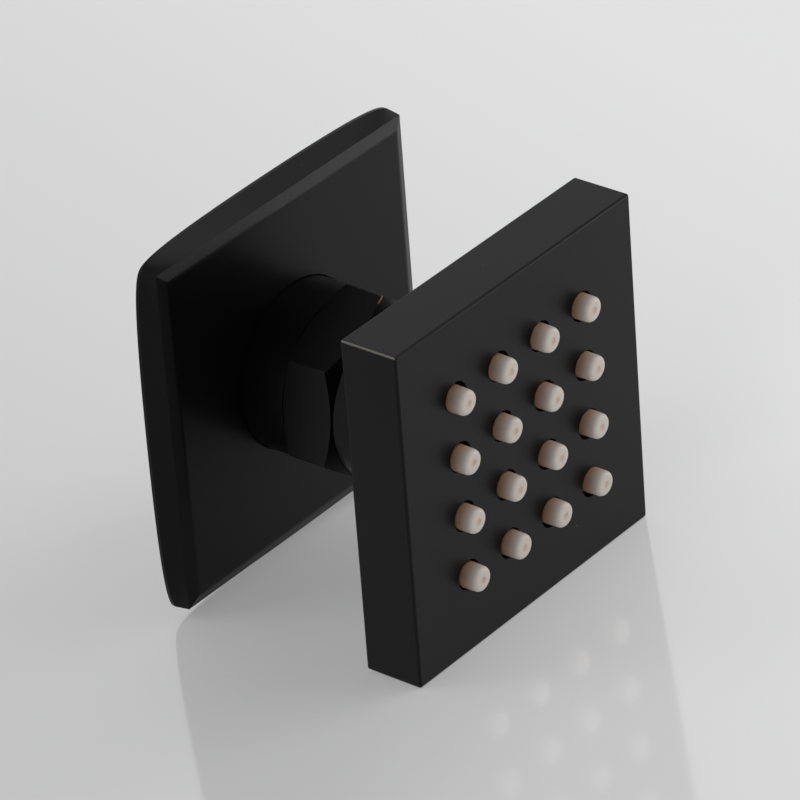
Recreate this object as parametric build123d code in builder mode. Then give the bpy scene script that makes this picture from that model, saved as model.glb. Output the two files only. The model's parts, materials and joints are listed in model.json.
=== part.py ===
from build123d import *

import os
from math import cos, radians, sin, sqrt, tan

# Square shower body jet for a wall outlet: a square escutcheon, a swivel body with a ball
# joint, and a flat square head with sixteen silicone nozzles.
# The origin is on the waterway, in the plane where the inlet seals on the fitting in the wall.
# The spray leaves towards -Y, and +Z is up. Every "reach" is a distance in front of the origin,
# so a negative reach lies inside the fitting.

# Wall escutcheon
escutcheon_face = 50.0
escutcheon_depth = 3.3
escutcheon_edge_radius = 2.2
escutcheon_face_wall = 1.4
escutcheon_side_wall = 2.55
rim_flare = 2.75
rim_bow = 1.9
rim_corner_pull = 2.0
rim_middle_pull = 12.0
rim_lip = 0.5
hub_wall = 3.6
hub_bore_clearance = 0.15
recess_corner_radius = 5.0
o_ring_section = 1.8
o_ring_clearance = 0.04

# Swivel body, turned and milled from one bar, 24 mm over its flats
collar_step = 1.6225
collar_show = 7.0
hex_flat_inset = 0.1
hex_length = 8.2
hex_turn = 23.0
hex_face_inset = 0.15
hex_chamfer_angle = 30
inlet_thread_diameter = 20.955
inlet_thread_length = 12.5
inlet_thread_chamfer = 1.2
thread_relief_depth = 1.1
waterway_diameter = 9.0
inlet_bore_diameter = 15.4
inlet_mouth = 1.2
socket_wall = 1.5
ball_thread_length = 4.5
turned_edge = 0.3

# Sealing washer behind the collar
washer_thickness = 1.5
washer_clearance = 0.1
washer_edge = 0.2

# Flow restrictor and strainer in the inlet bore
insert_fit = 0.05
restrictor_length = 4.6
restrictor_floor = 1.4
restrictor_wall = 1.3
restrictor_core_diameter = 4.8
restrictor_port_diameter = 1.4
restrictor_port_count = 8
restrictor_ring_section = 2.0
restrictor_ring_gap = 0.25
strainer_thickness = 1.8
strainer_width = 2.0
screen_thickness = 0.4
screen_grip = 1.2
screen_hole_diameter = 1.5
screen_hole_pitch = 2.3
screen_rings = 2
screen_ring_step = 6

# Ball joint
ball_diameter = 17.0
ball_centre_show = 1.9
ball_clearance = 0.3
seat_fit = 0.05
seal_height = 2.9
seal_bore_diameter = 11.0
cushion_thickness = 1.2
seat_ring_thickness = 1.7
ring_nut_wall = 1.5
ring_nut_length = 7.2
ring_nut_lip_overlap = 0.8
ring_nut_flare = 0.5
ring_nut_front_edge = 0.8
thread_fit = 0.05

# Ball stem
neck_diameter = 9.8
neck_length = 0.95
neck_root_radius = 0.8
shoulder_diameter = 13.0
shoulder_thickness = 1.2
stem_thread_diameter = 10.0
stem_thread_engagement = 5.0
stem_bore_diameter = 4.8
stem_key_flats = 5.0
stem_key_depth = 5.0
ball_flat_diameter = 8.4

# Spray head
head_side = 50.0
head_depth = 9.0
head_edge_radius = 0.35
head_side_wall = 2.0
head_face_wall = 1.8
cavity_corner_radius = 1.5
corner_block = 5.8
corner_block_radius = 2.6
cover_thickness = 2.2
cover_fit = 0.1
cover_hub_diameter = 17.6
cover_hub_length = 3.0
cover_hub_root_radius = 0.8
stem_ring_section = 1.2
stem_ring_fit = 0.05
screw_inset = 5.2
screw_head_diameter = 4.7
screw_head_angle = 90
screw_diameter = 2.5
screw_length = 6.2
screw_fit = 0.03
screw_pilot_spare = 0.4
screw_recess_length = 2.8
screw_recess_width = 0.7
screw_recess_depth = 0.9

# Nozzle mat and what presses it on the face
nozzle_rows = 4
nozzle_pitch = 9.0
nozzle_hole_diameter = 4.3
nozzle_root_diameter = 3.7
nozzle_tip_diameter = 3.4
nozzle_show = 2.2
nozzle_tip_radius = 0.45
nozzle_outlet_diameter = 0.7
nozzle_dimple_diameter = 1.3
nozzle_dimple_depth = 0.35
nozzle_feed_diameter = 2.6
nozzle_feed_depth = 3.0
mat_thickness = 1.5
mat_turn = 0.8
mat_clearance = 0.6
retainer_thickness = 1.5
retainer_clearance = 0.2
retainer_port_diameter = 3.0
retainer_post_diameter = 3.0
gasket_side = 38.0
gasket_width = 2.0
gasket_corner_radius = 6.0

# Reaches that follow along the axis, from the wall's surface on
wall = washer_thickness
escutcheon_front = wall + escutcheon_depth
hex_back = escutcheon_front + collar_show
hex_front = hex_back + hex_length
socket_front = hex_front + ball_thread_length
ball_centre = hex_front + ball_centre_show
ball_radius = ball_diameter / 2
neck_radius = neck_diameter / 2
neck_start = ball_centre + sqrt(ball_radius**2 - neck_radius**2)
shoulder_back = neck_start + neck_length
hub_end = shoulder_back + shoulder_thickness
head_back = hub_end + cover_hub_length
head_front = head_back + head_depth
cover_inner = head_back + cover_thickness
mat_front = head_front - head_face_wall
mat_back = mat_front - mat_thickness
retainer_back = mat_back - retainer_thickness

# Half sections are drawn with the radius to the right and the reach upwards, then turned about Y
half_section = Plane(origin=(0, 0, 0), x_dir=(1, 0, 0), z_dir=(0, 0, -1))


def across(reach):
    """Plane square to the waterway that looks along the spray."""
    return Plane.XZ.offset(reach)


def facing_wall(reach):
    """Plane square to the waterway that looks back at the wall."""
    return Plane(origin=(0, -reach, 0), x_dir=(1, 0, 0), z_dir=(0, 1, 0))


def ball_back(radius):
    """Reach at which the back half of the ball has this radius."""
    return ball_centre - sqrt(ball_radius**2 - radius**2)


# Escutcheon: a square face with bowed, flaring sides that meet in mitres, hollow behind
rim_width = escutcheon_face + 2 * rim_flare
rim_half = rim_width / 2 - rim_bow
collar_radius = inlet_thread_diameter / 2 + collar_step
hub_bore_radius = collar_radius + hub_bore_clearance
ring_centre_radius = collar_radius + o_ring_clearance + o_ring_section / 2
groove_radius = ring_centre_radius + o_ring_section / 2 + o_ring_clearance
groove_width = o_ring_section + 2 * o_ring_clearance
ring_reach = wall + escutcheon_depth / 2
recess_side = rim_width - 2 * rim_bow - 2 * escutcheon_side_wall


def rim_side(turn):
    """One bowed side of the rim, turned about the middle: near straight, and rounder at its ends.

    The curve passes inside its pulls, so they lie a fifteenth of the bow outside the rim's width.
    """
    crown = rim_width / 2 + rim_bow / 15
    pulls = [
        Vector(-rim_half, rim_half),
        Vector(rim_corner_pull - rim_half, crown),
        Vector(-rim_middle_pull, crown),
        Vector(rim_middle_pull, crown),
        Vector(rim_half - rim_corner_pull, crown),
        Vector(rim_half, rim_half),
    ]
    return Bezier(*[point.rotate(Axis.Z, turn) for point in pulls])


with BuildPart() as escutcheon:
    with BuildSketch(across(wall + rim_lip)):
        with BuildLine():
            for quarter in range(4):
                rim_side(90 * quarter)
        make_face()
    with BuildSketch(across(escutcheon_front)):
        Rectangle(escutcheon_face, escutcheon_face)
    loft(ruled=True)
    fillet(escutcheon.faces().sort_by(Axis.Y)[0].edges(), escutcheon_edge_radius)
    extrude(escutcheon.faces().sort_by(Axis.Y)[-1], amount=rim_lip)
    with BuildSketch(across(wall)):
        RectangleRounded(recess_side, recess_side, recess_corner_radius)
        Circle(groove_radius + hub_wall, mode=Mode.SUBTRACT)
    extrude(amount=escutcheon_depth - escutcheon_face_wall, mode=Mode.SUBTRACT)
    with BuildSketch(across(wall)):
        Circle(hub_bore_radius)
    extrude(amount=escutcheon_depth, mode=Mode.SUBTRACT)
    with BuildSketch(across(ring_reach)):
        Circle(groove_radius)
    extrude(amount=groove_width / 2, both=True, mode=Mode.SUBTRACT)

# O-ring that holds the escutcheon on the collar
with BuildPart() as escutcheon_o_ring:
    with BuildSketch(half_section):
        with Locations((ring_centre_radius, ring_reach)):
            Circle(o_ring_section / 2)
    revolve(axis=Axis.Y)

# Hexagon of the swivel body, with a turned chamfer at both ends
hex_flats = 2 * (collar_radius - hex_flat_inset)
hex_corner = hex_flats / 2 / cos(radians(30))
hex_end_radius = hex_flats / 2 - hex_face_inset
hex_chamfer = (hex_corner - hex_end_radius) * tan(radians(hex_chamfer_angle))

with BuildPart() as hexagon:
    with BuildSketch(across(hex_back)):
        RegularPolygon(hex_flats / 2, 6, major_radius=False, rotation=hex_turn)
    extrude(amount=hex_length)
    with BuildSketch(half_section):
        with BuildLine():
            Polyline(
                (0, hex_back),
                (hex_end_radius, hex_back),
                (hex_corner, hex_back + hex_chamfer),
                (hex_corner, hex_front - hex_chamfer),
                (hex_end_radius, hex_front),
                (0, hex_front),
                close=True,
            )
        make_face()
    revolve(axis=Axis.Y, mode=Mode.INTERSECT)

# Swivel body: inlet thread, collar, hexagon and the thread for the ring nut, bored through
thread_radius = inlet_thread_diameter / 2
relief_radius = thread_radius - thread_relief_depth
inlet_end = -inlet_thread_length
inlet_floor = inlet_end + inlet_mouth + strainer_thickness + restrictor_length
socket_radius = ball_radius + ball_clearance
ball_thread_radius = socket_radius + socket_wall
socket_floor = ball_back(seal_bore_diameter / 2) - cushion_thickness

with BuildPart() as swivel_body:
    with BuildSketch(half_section):
        with BuildLine():
            Polyline(
                (0, inlet_end),
                (thread_radius - inlet_thread_chamfer, inlet_end),
                (thread_radius, inlet_end + inlet_thread_chamfer),
                (thread_radius, 0),
                (relief_radius, 0),
                (relief_radius, wall),
                (collar_radius - turned_edge, wall),
                (collar_radius, wall + turned_edge),
                (collar_radius, hex_back),
                (hex_end_radius, hex_back),
                (hex_end_radius, hex_front),
                (ball_thread_radius, hex_front),
                (ball_thread_radius, socket_front - turned_edge),
                (ball_thread_radius - turned_edge, socket_front),
                (0, socket_front),
                close=True,
            )
        make_face()
    revolve(axis=Axis.Y)
    add(hexagon.part)
    with BuildSketch(half_section):
        with BuildLine():
            Polyline(
                (0, inlet_end),
                (inlet_bore_diameter / 2, inlet_end),
                (inlet_bore_diameter / 2, inlet_floor),
                (waterway_diameter / 2, inlet_floor),
                (waterway_diameter / 2, socket_floor),
                (socket_radius, socket_floor),
                (socket_radius, socket_front),
                (0, socket_front),
                close=True,
            )
        make_face()
    revolve(axis=Axis.Y, mode=Mode.SUBTRACT)

# Flat sealing washer between the collar and the wall fitting
with BuildPart() as inlet_washer:
    with BuildSketch(across(0)):
        Circle(collar_radius - turned_edge)
        Circle(thread_radius + washer_clearance, mode=Mode.SUBTRACT)
    extrude(amount=washer_thickness)
    chamfer(inlet_washer.edges().filter_by(GeomType.CIRCLE), washer_edge)

# Flow restrictor: a moulded cup with a core, and ports under its rubber ring
insert_radius = inlet_bore_diameter / 2 - insert_fit
core_radius = restrictor_core_diameter / 2
port_circle = core_radius + restrictor_ring_gap + restrictor_ring_section / 2
restrictor_end = inlet_floor - restrictor_length

with BuildPart() as flow_restrictor:
    with BuildSketch(across(restrictor_end)):
        Circle(insert_radius)
    extrude(amount=restrictor_length)
    with BuildSketch(across(restrictor_end)):
        Circle(insert_radius - restrictor_wall)
        Circle(core_radius, mode=Mode.SUBTRACT)
    extrude(amount=restrictor_length - restrictor_floor, mode=Mode.SUBTRACT)
    with BuildSketch(across(restrictor_end)):
        with PolarLocations(port_circle, restrictor_port_count):
            Circle(restrictor_port_diameter / 2)
    extrude(amount=restrictor_length, mode=Mode.SUBTRACT)

# Rubber ring round the restrictor's core
with BuildPart() as restrictor_o_ring:
    with BuildSketch(half_section):
        with Locations((port_circle, inlet_floor - restrictor_floor - restrictor_ring_section / 2)):
            Circle(restrictor_ring_section / 2)
    revolve(axis=Axis.Y)

# Strainer: a rubber ring that holds a perforated steel disc
strainer_inner = insert_radius - strainer_width
screen_radius = strainer_inner + screen_grip
strainer_end = restrictor_end - strainer_thickness
screen_back = strainer_end + (strainer_thickness - screen_thickness) / 2

with BuildPart() as strainer_ring:
    with BuildSketch(across(strainer_end)):
        Circle(insert_radius)
        Circle(strainer_inner, mode=Mode.SUBTRACT)
    extrude(amount=strainer_thickness)
    with BuildSketch(across(screen_back)):
        Circle(screen_radius)
    extrude(amount=screen_thickness, mode=Mode.SUBTRACT)

with BuildPart() as strainer_screen:
    with BuildSketch(across(screen_back)):
        Circle(screen_radius)
        Circle(screen_hole_diameter / 2, mode=Mode.SUBTRACT)
        for ring in range(1, screen_rings + 1):
            with PolarLocations(ring * screen_hole_pitch, ring * screen_ring_step):
                Circle(screen_hole_diameter / 2, mode=Mode.SUBTRACT)
    extrude(amount=screen_thickness)

# Ball seal: a ring with a spherical seat behind the ball, on a rubber cushion
seal_radius = socket_radius - seat_fit
seat_sphere = ball_radius + seat_fit
seal_inner = seal_bore_diameter / 2
seal_back = socket_floor + cushion_thickness

with BuildPart() as seal_cushion:
    with BuildSketch(across(socket_floor)):
        Circle(seal_radius)
        Circle(seal_inner, mode=Mode.SUBTRACT)
    extrude(amount=cushion_thickness)

with BuildPart() as ball_seal:
    with BuildSketch(across(seal_back)):
        Circle(seal_radius)
        Circle(seal_inner, mode=Mode.SUBTRACT)
    extrude(amount=seal_height)
    with Locations((0, -ball_centre, 0)):
        Sphere(seat_sphere, mode=Mode.SUBTRACT)

# Seat ring in front of the ball, clamped between the swivel body and the nut's lip
ring_nut_step = socket_front + seat_ring_thickness
seat_ring_radius = ball_thread_radius - turned_edge - seat_fit

with BuildPart() as ball_seat_ring:
    with BuildSketch(across(socket_front)):
        Circle(seat_ring_radius)
    extrude(amount=seat_ring_thickness)
    with Locations((0, -ball_centre, 0)):
        Sphere(seat_sphere, mode=Mode.SUBTRACT)

# Ring nut: screwed on the swivel body against the hexagon, its lip holds the ball
ring_nut_radius = ball_thread_radius + thread_fit + ring_nut_wall
ring_nut_front = hex_front + ring_nut_length
lip_radius = ball_radius - ring_nut_lip_overlap

with BuildPart() as ring_nut:
    with BuildSketch(half_section):
        with BuildLine():
            Polyline(
                (ball_thread_radius + thread_fit, hex_front),
                (ring_nut_radius - turned_edge, hex_front),
                (ring_nut_radius, hex_front + turned_edge),
                (ring_nut_radius, ring_nut_front - ring_nut_front_edge),
                (ring_nut_radius - ring_nut_front_edge, ring_nut_front),
                (lip_radius + ring_nut_flare, ring_nut_front),
                (lip_radius, ring_nut_step),
                (seat_ring_radius + seat_fit, ring_nut_step),
                (seat_ring_radius + seat_fit, socket_front),
                (ball_thread_radius + thread_fit, socket_front),
                close=True,
            )
        make_face()
    revolve(axis=Axis.Y)

# Ball stem: ball, neck, shoulder and the thread that carries the head, bored through
shoulder_radius = shoulder_diameter / 2
stem_thread_radius = stem_thread_diameter / 2
stem_bore_radius = stem_bore_diameter / 2
ball_flat_radius = ball_flat_diameter / 2
ball_flat = ball_back(ball_flat_radius)
stem_end = hub_end + stem_thread_engagement

with BuildPart() as ball_stem:
    with BuildSketch(half_section):
        with BuildLine():
            ThreePointArc((ball_flat_radius, ball_flat), (ball_radius, ball_centre), (neck_radius, neck_start))
            Polyline(
                (neck_radius, neck_start),
                (neck_radius, shoulder_back),
                (shoulder_radius, shoulder_back),
                (shoulder_radius, hub_end),
                (stem_thread_radius, hub_end),
                (stem_thread_radius, stem_end - turned_edge),
                (stem_thread_radius - turned_edge, stem_end),
                (stem_bore_radius, stem_end),
                (stem_bore_radius, ball_flat),
                (ball_flat_radius, ball_flat),
            )
        make_face()
    revolve(axis=Axis.Y)
    neck_root = ball_stem.edges().filter_by(GeomType.CIRCLE).filter_by(
        lambda edge: abs(edge.radius - neck_radius) < 0.01
    )
    fillet(neck_root.sort_by(Axis.Y)[-1], neck_root_radius)
    with BuildSketch(across(ball_flat)):
        RegularPolygon(stem_key_flats / 2, 6, major_radius=False)
    extrude(amount=stem_key_depth, mode=Mode.SUBTRACT)

# Head cover: the back plate of the head, with the hub that the stem screws into
cavity_side = head_side - 2 * head_side_wall
cover_side = cavity_side - 2 * cover_fit
hub_radius = cover_hub_diameter / 2
stem_ring_centre = stem_thread_radius + stem_ring_fit + stem_ring_section / 2
stem_ring_seat = stem_ring_centre + stem_ring_section / 2 + stem_ring_fit
stem_ring_room = stem_ring_section + 2 * stem_ring_fit
screw_spacing = head_side - 2 * screw_inset

with BuildPart() as head_cover:
    with BuildSketch(across(head_back)):
        RectangleRounded(cover_side, cover_side, cavity_corner_radius - cover_fit)
    extrude(amount=cover_thickness)
    with BuildSketch(across(head_back)):
        Circle(hub_radius)
    extrude(amount=-cover_hub_length)
    hub_root = head_cover.edges().filter_by(GeomType.CIRCLE).sort_by(Axis.Y)[0:1]
    fillet(hub_root, cover_hub_root_radius)
    with BuildSketch(across(hub_end)):
        Circle(stem_ring_seat)
    extrude(amount=stem_ring_room, mode=Mode.SUBTRACT)
    with BuildSketch(across(hub_end)):
        Circle(stem_thread_radius + thread_fit)
    extrude(amount=cover_hub_length + cover_thickness, mode=Mode.SUBTRACT)
    with Locations(facing_wall(head_back)):
        with GridLocations(screw_spacing, screw_spacing, 2, 2):
            CounterSinkHole(
                screw_diameter / 2 + screw_fit,
                screw_head_diameter / 2 + screw_fit,
                depth=cover_thickness,
                counter_sink_angle=screw_head_angle,
            )

# O-ring between the stem's shoulder and the hub
with BuildPart() as stem_o_ring:
    with BuildSketch(half_section):
        with Locations((stem_ring_centre, hub_end + stem_ring_room / 2)):
            Circle(stem_ring_section / 2)
    revolve(axis=Axis.Y)

# Four countersunk screws that hold the cover
screw_tip = head_back + screw_length
screw_head_taper = screw_head_angle / 2
screw_head_height = (screw_head_diameter - screw_diameter) / 2 / tan(radians(screw_head_taper))

with BuildPart() as cover_screws:
    with BuildSketch(across(head_back)):
        with GridLocations(screw_spacing, screw_spacing, 2, 2):
            Circle(screw_diameter / 2)
    extrude(amount=screw_length)
    with BuildSketch(across(head_back)):
        with GridLocations(screw_spacing, screw_spacing, 2, 2):
            Circle(screw_head_diameter / 2)
    extrude(amount=screw_head_height, taper=screw_head_taper)
    with BuildSketch(across(head_back)):
        with GridLocations(screw_spacing, screw_spacing, 2, 2):
            Rectangle(screw_recess_length, screw_recess_width)
            Rectangle(screw_recess_width, screw_recess_length)
    extrude(amount=screw_recess_depth, mode=Mode.SUBTRACT)

# Head shell: face and sides in one piece, open behind, with a block in each corner for a screw
block_place = cavity_side - corner_block

with BuildPart() as head_shell:
    with BuildSketch(across(head_back)):
        Rectangle(head_side, head_side)
    extrude(amount=head_depth)
    fillet(head_shell.edges(), head_edge_radius)
    with BuildSketch(across(head_back)):
        RectangleRounded(cavity_side, cavity_side, cavity_corner_radius)
    extrude(amount=cover_thickness, mode=Mode.SUBTRACT)
    with BuildSketch(across(cover_inner)) as cavity:
        RectangleRounded(cavity_side, cavity_side, cavity_corner_radius)
        with GridLocations(block_place, block_place, 2, 2):
            Rectangle(corner_block, corner_block, mode=Mode.SUBTRACT)
        inner_corners = cavity.vertices().filter_by(
            lambda corner: abs(abs(corner.X) - abs(corner.Y)) < 0.01
        )
        fillet(inner_corners, corner_block_radius)
    extrude(amount=mat_front - cover_inner, mode=Mode.SUBTRACT)
    with BuildSketch(across(cover_inner)):
        with GridLocations(screw_spacing, screw_spacing, 2, 2):
            Circle(screw_diameter / 2 + screw_fit)
    extrude(amount=screw_tip + screw_pilot_spare - cover_inner, mode=Mode.SUBTRACT)
    with BuildSketch(across(mat_front)):
        with GridLocations(nozzle_pitch, nozzle_pitch, nozzle_rows, nozzle_rows):
            Circle(nozzle_hole_diameter / 2)
    extrude(amount=head_face_wall, mode=Mode.SUBTRACT)


def notched_square(clearance):
    """Square that fills the shell's cavity and leaves its corner blocks out."""
    RectangleRounded(cavity_side - 2 * clearance, cavity_side - 2 * clearance, cavity_corner_radius)
    with GridLocations(block_place, block_place, 2, 2):
        Rectangle(corner_block + 2 * clearance, corner_block + 2 * clearance, mode=Mode.SUBTRACT)


# Nozzle mat: one silicone moulding that sits slightly turned behind the face
mat_side = (cos(radians(mat_turn)), 0, sin(radians(mat_turn)))
mat_plane = Plane(origin=(0, -mat_back, 0), x_dir=mat_side, z_dir=(0, -1, 0))
mat_depth = mat_thickness + head_face_wall + nozzle_show

# One nozzle, upright with its foot at the origin: the silicone, and the water's way through it
with BuildPart() as nozzle_wall:
    with BuildSketch(Plane.XZ) as wall_section:
        with BuildLine():
            Polyline(
                (0, mat_thickness),
                (nozzle_root_diameter / 2, mat_thickness),
                (nozzle_tip_diameter / 2, mat_depth),
                (0, mat_depth),
                close=True,
            )
        make_face()
        fillet(wall_section.vertices().sort_by(Axis.Y)[-2:].sort_by(Axis.X)[-1], nozzle_tip_radius)
    revolve(axis=Axis.Z)

with BuildPart() as nozzle_bore:
    with BuildSketch(Plane.XZ):
        with BuildLine():
            Polyline(
                (0, 0),
                (nozzle_feed_diameter / 2, 0),
                (nozzle_outlet_diameter / 2, nozzle_feed_depth),
                (nozzle_outlet_diameter / 2, mat_depth - nozzle_dimple_depth),
                (nozzle_dimple_diameter / 2, mat_depth),
                (0, mat_depth),
                close=True,
            )
        make_face()
    revolve(axis=Axis.Z)

with BuildPart() as nozzle_mat:
    with BuildSketch(mat_plane):
        notched_square(mat_clearance)
    extrude(amount=mat_thickness)
    with Locations(mat_plane):
        with GridLocations(nozzle_pitch, nozzle_pitch, nozzle_rows, nozzle_rows):
            add(nozzle_wall.part)
            add(nozzle_bore.part, mode=Mode.SUBTRACT)

# Mat retainer: a moulded plate that presses the mat on the face and feeds each nozzle
with BuildPart() as mat_retainer:
    with BuildSketch(across(retainer_back)):
        notched_square(retainer_clearance)
    extrude(amount=retainer_thickness)
    with BuildSketch(across(cover_inner)):
        with GridLocations(2 * nozzle_pitch, 2 * nozzle_pitch, 2, 2):
            Circle(retainer_post_diameter / 2)
    extrude(amount=retainer_back - cover_inner)
    with BuildSketch(across(retainer_back)):
        with GridLocations(nozzle_pitch, nozzle_pitch, nozzle_rows, nozzle_rows):
            Circle(retainer_port_diameter / 2)
    extrude(amount=retainer_thickness, mode=Mode.SUBTRACT)

# Gasket round the water chamber, between the cover and the retainer
gasket_inner = gasket_side - 2 * gasket_width

with BuildPart() as chamber_gasket:
    with BuildSketch(across(cover_inner)):
        RectangleRounded(gasket_side, gasket_side, gasket_corner_radius)
        RectangleRounded(
            gasket_inner, gasket_inner, gasket_corner_radius - gasket_width, mode=Mode.SUBTRACT
        )
    extrude(amount=retainer_back - cover_inner)

# Each piece is written under its own name
pieces = {
    "escutcheon": escutcheon,
    "escutcheon_o_ring": escutcheon_o_ring,
    "swivel_body": swivel_body,
    "inlet_washer": inlet_washer,
    "flow_restrictor": flow_restrictor,
    "restrictor_o_ring": restrictor_o_ring,
    "strainer_ring": strainer_ring,
    "strainer_screen": strainer_screen,
    "seal_cushion": seal_cushion,
    "ball_seal": ball_seal,
    "ball_seat_ring": ball_seat_ring,
    "ring_nut": ring_nut,
    "ball_stem": ball_stem,
    "stem_o_ring": stem_o_ring,
    "head_cover": head_cover,
    "cover_screws": cover_screws,
    "head_shell": head_shell,
    "chamber_gasket": chamber_gasket,
    "mat_retainer": mat_retainer,
    "nozzle_mat": nozzle_mat,
}

os.makedirs("parts", exist_ok=True)
for name, piece in pieces.items():
    piece.part.label = name
    export_step(piece.part, f"parts/{name}.step")
    print(f"{name}: {piece.part.volume:.1f} mm3")
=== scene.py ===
# %% [markdown]
# # A square shower body jet
# This lesson dresses a finished CAD part for a picture. The part is a small square shower head that
# sprays sideways out of a bathroom wall. It has a square wall plate, a short swivel body with a
# hexagon, a ball joint, and a flat head with sixteen soft nozzles. The CAD model gives every size
# and place. Blender gives it the soft edges, the screw thread and the finishes that the eye expects.

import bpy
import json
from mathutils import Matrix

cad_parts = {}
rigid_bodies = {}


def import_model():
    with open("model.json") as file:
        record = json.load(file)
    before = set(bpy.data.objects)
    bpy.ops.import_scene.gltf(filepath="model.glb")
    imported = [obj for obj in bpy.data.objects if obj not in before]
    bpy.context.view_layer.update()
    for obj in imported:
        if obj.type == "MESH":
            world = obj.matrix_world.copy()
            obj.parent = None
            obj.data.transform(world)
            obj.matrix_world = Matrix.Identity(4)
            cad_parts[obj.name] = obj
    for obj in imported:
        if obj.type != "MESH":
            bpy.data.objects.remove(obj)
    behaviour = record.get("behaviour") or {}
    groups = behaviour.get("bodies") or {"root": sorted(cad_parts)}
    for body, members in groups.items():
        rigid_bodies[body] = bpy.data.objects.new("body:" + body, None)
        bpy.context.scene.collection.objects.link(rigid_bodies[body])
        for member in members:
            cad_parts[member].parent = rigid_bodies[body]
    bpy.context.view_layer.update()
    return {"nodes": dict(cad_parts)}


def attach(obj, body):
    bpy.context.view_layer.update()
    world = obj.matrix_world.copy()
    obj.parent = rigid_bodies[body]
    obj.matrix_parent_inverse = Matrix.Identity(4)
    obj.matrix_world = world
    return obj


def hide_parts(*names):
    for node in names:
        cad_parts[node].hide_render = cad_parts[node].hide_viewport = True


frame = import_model()

# %% [markdown]
# ## Hand tools
# Blender's operators act on whatever is selected, and a script has no mouse. So each step first
# clears the selection, then selects faces or edges by their place or their normal. Sizes are
# written in millimetres, as on a drawing, and MM turns them into Blender's metres. The spray leaves
# towards -Y, so "reach" is the distance in front of the inlet's sealing plane, and y = -reach.

# %% Select by place
import json
import math

import bmesh
import bpy
from mathutils import Matrix, Vector

MM = 0.001


def clear_selection():
    """Leaves edit mode and selects nothing."""
    if bpy.context.object and bpy.context.object.mode == "EDIT":
        bpy.ops.object.mode_set(mode="OBJECT")
    bpy.ops.object.select_all(action="DESELECT")


def take(piece):
    """Makes this piece the only selected one."""
    clear_selection()
    piece.select_set(True)
    bpy.context.view_layer.objects.active = piece


def select_by(piece, kind, wanted):
    """Goes into edit mode and selects each VERT, EDGE or FACE that passes the test."""
    take(piece)
    bpy.ops.object.mode_set(mode="EDIT")
    bpy.ops.mesh.select_mode(type=kind)
    bpy.ops.mesh.select_all(action="DESELECT")
    mesh = bmesh.from_edit_mesh(piece.data)
    for element in {"VERT": mesh.verts, "EDGE": mesh.edges, "FACE": mesh.faces}[kind]:
        if wanted(element):
            element.select_set(True)
    bmesh.update_edit_mesh(piece.data)


def count_picked(piece):
    """Number of selected edges of a piece in edit mode."""
    return sum(edge.select for edge in bmesh.from_edit_mesh(piece.data).edges)


def near(value, size, slack=0.02):
    """True if a length in metres is this many millimetres."""
    return abs(value / MM - size) < slack


def name_it(name):
    """Names the active piece and puts its place into its mesh."""
    piece = bpy.context.object
    piece.name = piece.data.name = name
    bpy.ops.object.transform_apply(location=True, rotation=True, scale=True)
    return piece


print("Hand tools are ready")

# %% [markdown]
# ## Finishing touches that every piece gets
# Real edges are never perfectly sharp, and the thin line of light on an edge tells the eye that a
# thing is solid. Modifiers make those edges. Smooth shading hides the facets of round parts, while
# weighted normals keep large flat faces looking flat beside their soft edges.

# %% Modifiers and shading


def apply_modifier(piece, kind, **settings):
    """Adds one modifier, sets it and applies it."""
    take(piece)
    bpy.ops.object.modifier_add(type=kind)
    modifier = piece.modifiers[-1]
    for setting, value in settings.items():
        setattr(modifier, setting, value)
    bpy.ops.object.modifier_apply(modifier=modifier.name)


def smooth(piece, sharp_from=35):
    """Shades smooth below this angle in degrees, and keeps the flats flat."""
    take(piece)
    bpy.ops.object.shade_smooth_by_angle(angle=math.radians(sharp_from))
    apply_modifier(piece, "WEIGHTED_NORMAL", keep_sharp=True, weight=80)


def clean(piece):
    """Merges points that lie on each other and turns every face outwards."""
    select_by(piece, "VERT", lambda point: True)
    bpy.ops.mesh.remove_doubles(threshold=0.002 * MM)
    bpy.ops.mesh.normals_make_consistent(inside=False)
    bpy.ops.object.mode_set(mode="OBJECT")


def mounted(piece, body, slot, *nodes):
    """Lets the piece ride on its CAD body and stand for its CAD nodes."""
    clear_selection()
    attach(piece, body)
    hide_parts(*nodes)
    size = " x ".join(f"{side / MM:.1f}" for side in piece.dimensions)
    print(f"{piece.name}: {len(piece.data.polygons)} faces, {size} mm")


print("Finishing tools are ready")

# %% [markdown]
# ## A lathe in edit mode
# Most pieces of a fitting are turned: the nut, the ball, the thread and even each nozzle. A lathe
# turns one outline about an axis, and so does Blender's Spin. The outline starts as one point, which
# is extruded from corner to corner. A corner with a third number is rounded to that radius first.

# %% Soft corners of an outline


def rounded(outline, arc=4):
    """Corners of (radius, reach) in mm, with a soft bend at each corner that has a third number."""
    points = []
    for n, entry in enumerate(outline):
        corner = Vector(entry[:2])
        if len(entry) == 2:
            points.append(corner)
            continue
        before = (Vector(outline[n - 1][:2]) - corner).normalized()
        after = (Vector(outline[(n + 1) % len(outline)][:2]) - corner).normalized()
        run = entry[2] / math.tan(before.angle(after) / 2)
        for step in range(arc + 1):
            t = step / arc
            inward = (corner + before * run).lerp(corner, t)
            outward = corner.lerp(corner + after * run, t)
            points.append(inward.lerp(outward, t))
    return points


soft_corner = rounded([(0, 0), (1, 0, 0.3), (1, 1)])
print("a square corner, rounded:", [tuple(round(c, 2) for c in point) for point in soft_corner])

# %% Spin the outline


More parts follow.
